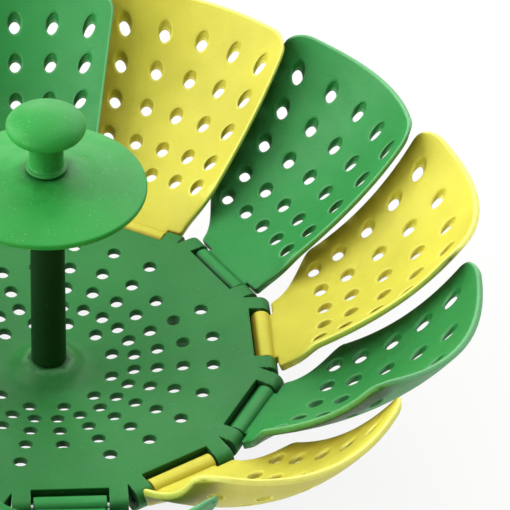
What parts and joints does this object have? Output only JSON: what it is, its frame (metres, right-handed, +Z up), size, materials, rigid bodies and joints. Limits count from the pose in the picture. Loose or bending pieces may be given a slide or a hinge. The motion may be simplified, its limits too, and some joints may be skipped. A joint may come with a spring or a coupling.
{
  "type": "folding steamer basket",
  "caption": "Round perforated steamer basket on three legs, with overlapping hinged petals that fold up around a centre post with a shield disc and lifting knob.",
  "frame": {"origin": "on the floor under the centre of the plate", "axes": "+Z up along the centre post, +X towards petal 01's side of the plate"},
  "size_m": [0.2578, 0.2578, 0.1131],
  "materials": {
    "green_plastic": "fine matt moulding",
    "bright_green_plastic": "satin moulding",
    "petal_green_plastic": "fine matt moulding",
    "yellow_plastic": "fine matt moulding",
    "steel": "drawn wire"
  },
  "bodies": {
    "root": {"base_plate": "green_plastic", "hinge_pin_01": "steel", "hinge_pin_02": "steel", "hinge_pin_03": "steel", "hinge_pin_04": "steel", "hinge_pin_05": "steel", "hinge_pin_06": "steel", "hinge_pin_07": "steel", "hinge_pin_08": "steel", "hinge_pin_09": "steel", "hinge_pin_10": "steel", "hinge_pin_11": "steel", "hinge_pin_12": "steel", "foot_1": "green_plastic", "foot_2": "green_plastic", "foot_3": "green_plastic", "centre_post": "green_plastic", "post_screw": "steel", "shield_disc": "bright_green_plastic", "knob": "bright_green_plastic"},
    "petal_body_01": {"petal_01": "yellow_plastic"},
    "petal_body_02": {"petal_02": "petal_green_plastic"},
    "petal_body_03": {"petal_03": "yellow_plastic"},
    "petal_body_04": {"petal_04": "petal_green_plastic"},
    "petal_body_05": {"petal_05": "yellow_plastic"},
    "petal_body_06": {"petal_06": "petal_green_plastic"},
    "petal_body_07": {"petal_07": "yellow_plastic"},
    "petal_body_08": {"petal_08": "petal_green_plastic"},
    "petal_body_09": {"petal_09": "yellow_plastic"},
    "petal_body_10": {"petal_10": "petal_green_plastic"},
    "petal_body_11": {"petal_11": "yellow_plastic"},
    "petal_body_12": {"petal_12": "petal_green_plastic"}
  },
  "joints": [
    {"name": "petal_hinge_01", "type": "hinge", "parent": "root", "child": "petal_body_01", "pos_m": [0.06529, -0.00525, 0.0224], "axis": [-0.0802, -0.9968, 0], "range_deg": [0, 75]},
    {"name": "petal_hinge_02", "type": "hinge", "parent": "root", "child": "petal_body_02", "pos_m": [0.05917, 0.02809, 0.0224], "axis": [0.4289, -0.9033, 0], "range_deg": [0, 75]},
    {"name": "petal_hinge_03", "type": "hinge", "parent": "root", "child": "petal_body_03", "pos_m": [0.03719, 0.05391, 0.0224], "axis": [0.8231, -0.5678, 0], "range_deg": [0, 75]},
    {"name": "petal_hinge_04", "type": "hinge", "parent": "root", "child": "petal_body_04", "pos_m": [0.00525, 0.06529, 0.0224], "axis": [0.9968, -0.0802, 0], "range_deg": [0, 75]},
    {"name": "petal_hinge_05", "type": "hinge", "parent": "root", "child": "petal_body_05", "pos_m": [-0.02809, 0.05917, 0.0224], "axis": [0.9033, 0.4289, 0], "range_deg": [0, 75]},
    {"name": "petal_hinge_06", "type": "hinge", "parent": "root", "child": "petal_body_06", "pos_m": [-0.05391, 0.03719, 0.0224], "axis": [0.5678, 0.8231, 0], "range_deg": [0, 75]},
    {"name": "petal_hinge_07", "type": "hinge", "parent": "root", "child": "petal_body_07", "pos_m": [-0.06529, 0.00525, 0.0224], "axis": [0.0802, 0.9968, 0], "range_deg": [0, 75]},
    {"name": "petal_hinge_08", "type": "hinge", "parent": "root", "child": "petal_body_08", "pos_m": [-0.05917, -0.02809, 0.0224], "axis": [-0.4289, 0.9033, 0], "range_deg": [0, 75]},
    {"name": "petal_hinge_09", "type": "hinge", "parent": "root", "child": "petal_body_09", "pos_m": [-0.03719, -0.05391, 0.0224], "axis": [-0.8231, 0.5678, 0], "range_deg": [0, 75]},
    {"name": "petal_hinge_10", "type": "hinge", "parent": "root", "child": "petal_body_10", "pos_m": [-0.00525, -0.06529, 0.0224], "axis": [-0.9968, 0.0802, 0], "range_deg": [0, 75]},
    {"name": "petal_hinge_11", "type": "hinge", "parent": "root", "child": "petal_body_11", "pos_m": [0.02809, -0.05917, 0.0224], "axis": [-0.9033, -0.4289, 0], "range_deg": [0, 75]},
    {"name": "petal_hinge_12", "type": "hinge", "parent": "root", "child": "petal_body_12", "pos_m": [0.05391, -0.03719, 0.0224], "axis": [-0.5678, -0.8231, 0], "range_deg": [0, 75]}
  ],
  "couplings": [
    {"joint": "petal_hinge_02", "follows": "petal_hinge_01", "ratio": 1},
    {"joint": "petal_hinge_03", "follows": "petal_hinge_01", "ratio": 1},
    {"joint": "petal_hinge_04", "follows": "petal_hinge_01", "ratio": 1},
    {"joint": "petal_hinge_05", "follows": "petal_hinge_01", "ratio": 1},
    {"joint": "petal_hinge_06", "follows": "petal_hinge_01", "ratio": 1},
    {"joint": "petal_hinge_07", "follows": "petal_hinge_01", "ratio": 1},
    {"joint": "petal_hinge_08", "follows": "petal_hinge_01", "ratio": 1},
    {"joint": "petal_hinge_09", "follows": "petal_hinge_01", "ratio": 1},
    {"joint": "petal_hinge_10", "follows": "petal_hinge_01", "ratio": 1},
    {"joint": "petal_hinge_11", "follows": "petal_hinge_01", "ratio": 1},
    {"joint": "petal_hinge_12", "follows": "petal_hinge_01", "ratio": 1}
  ]
}
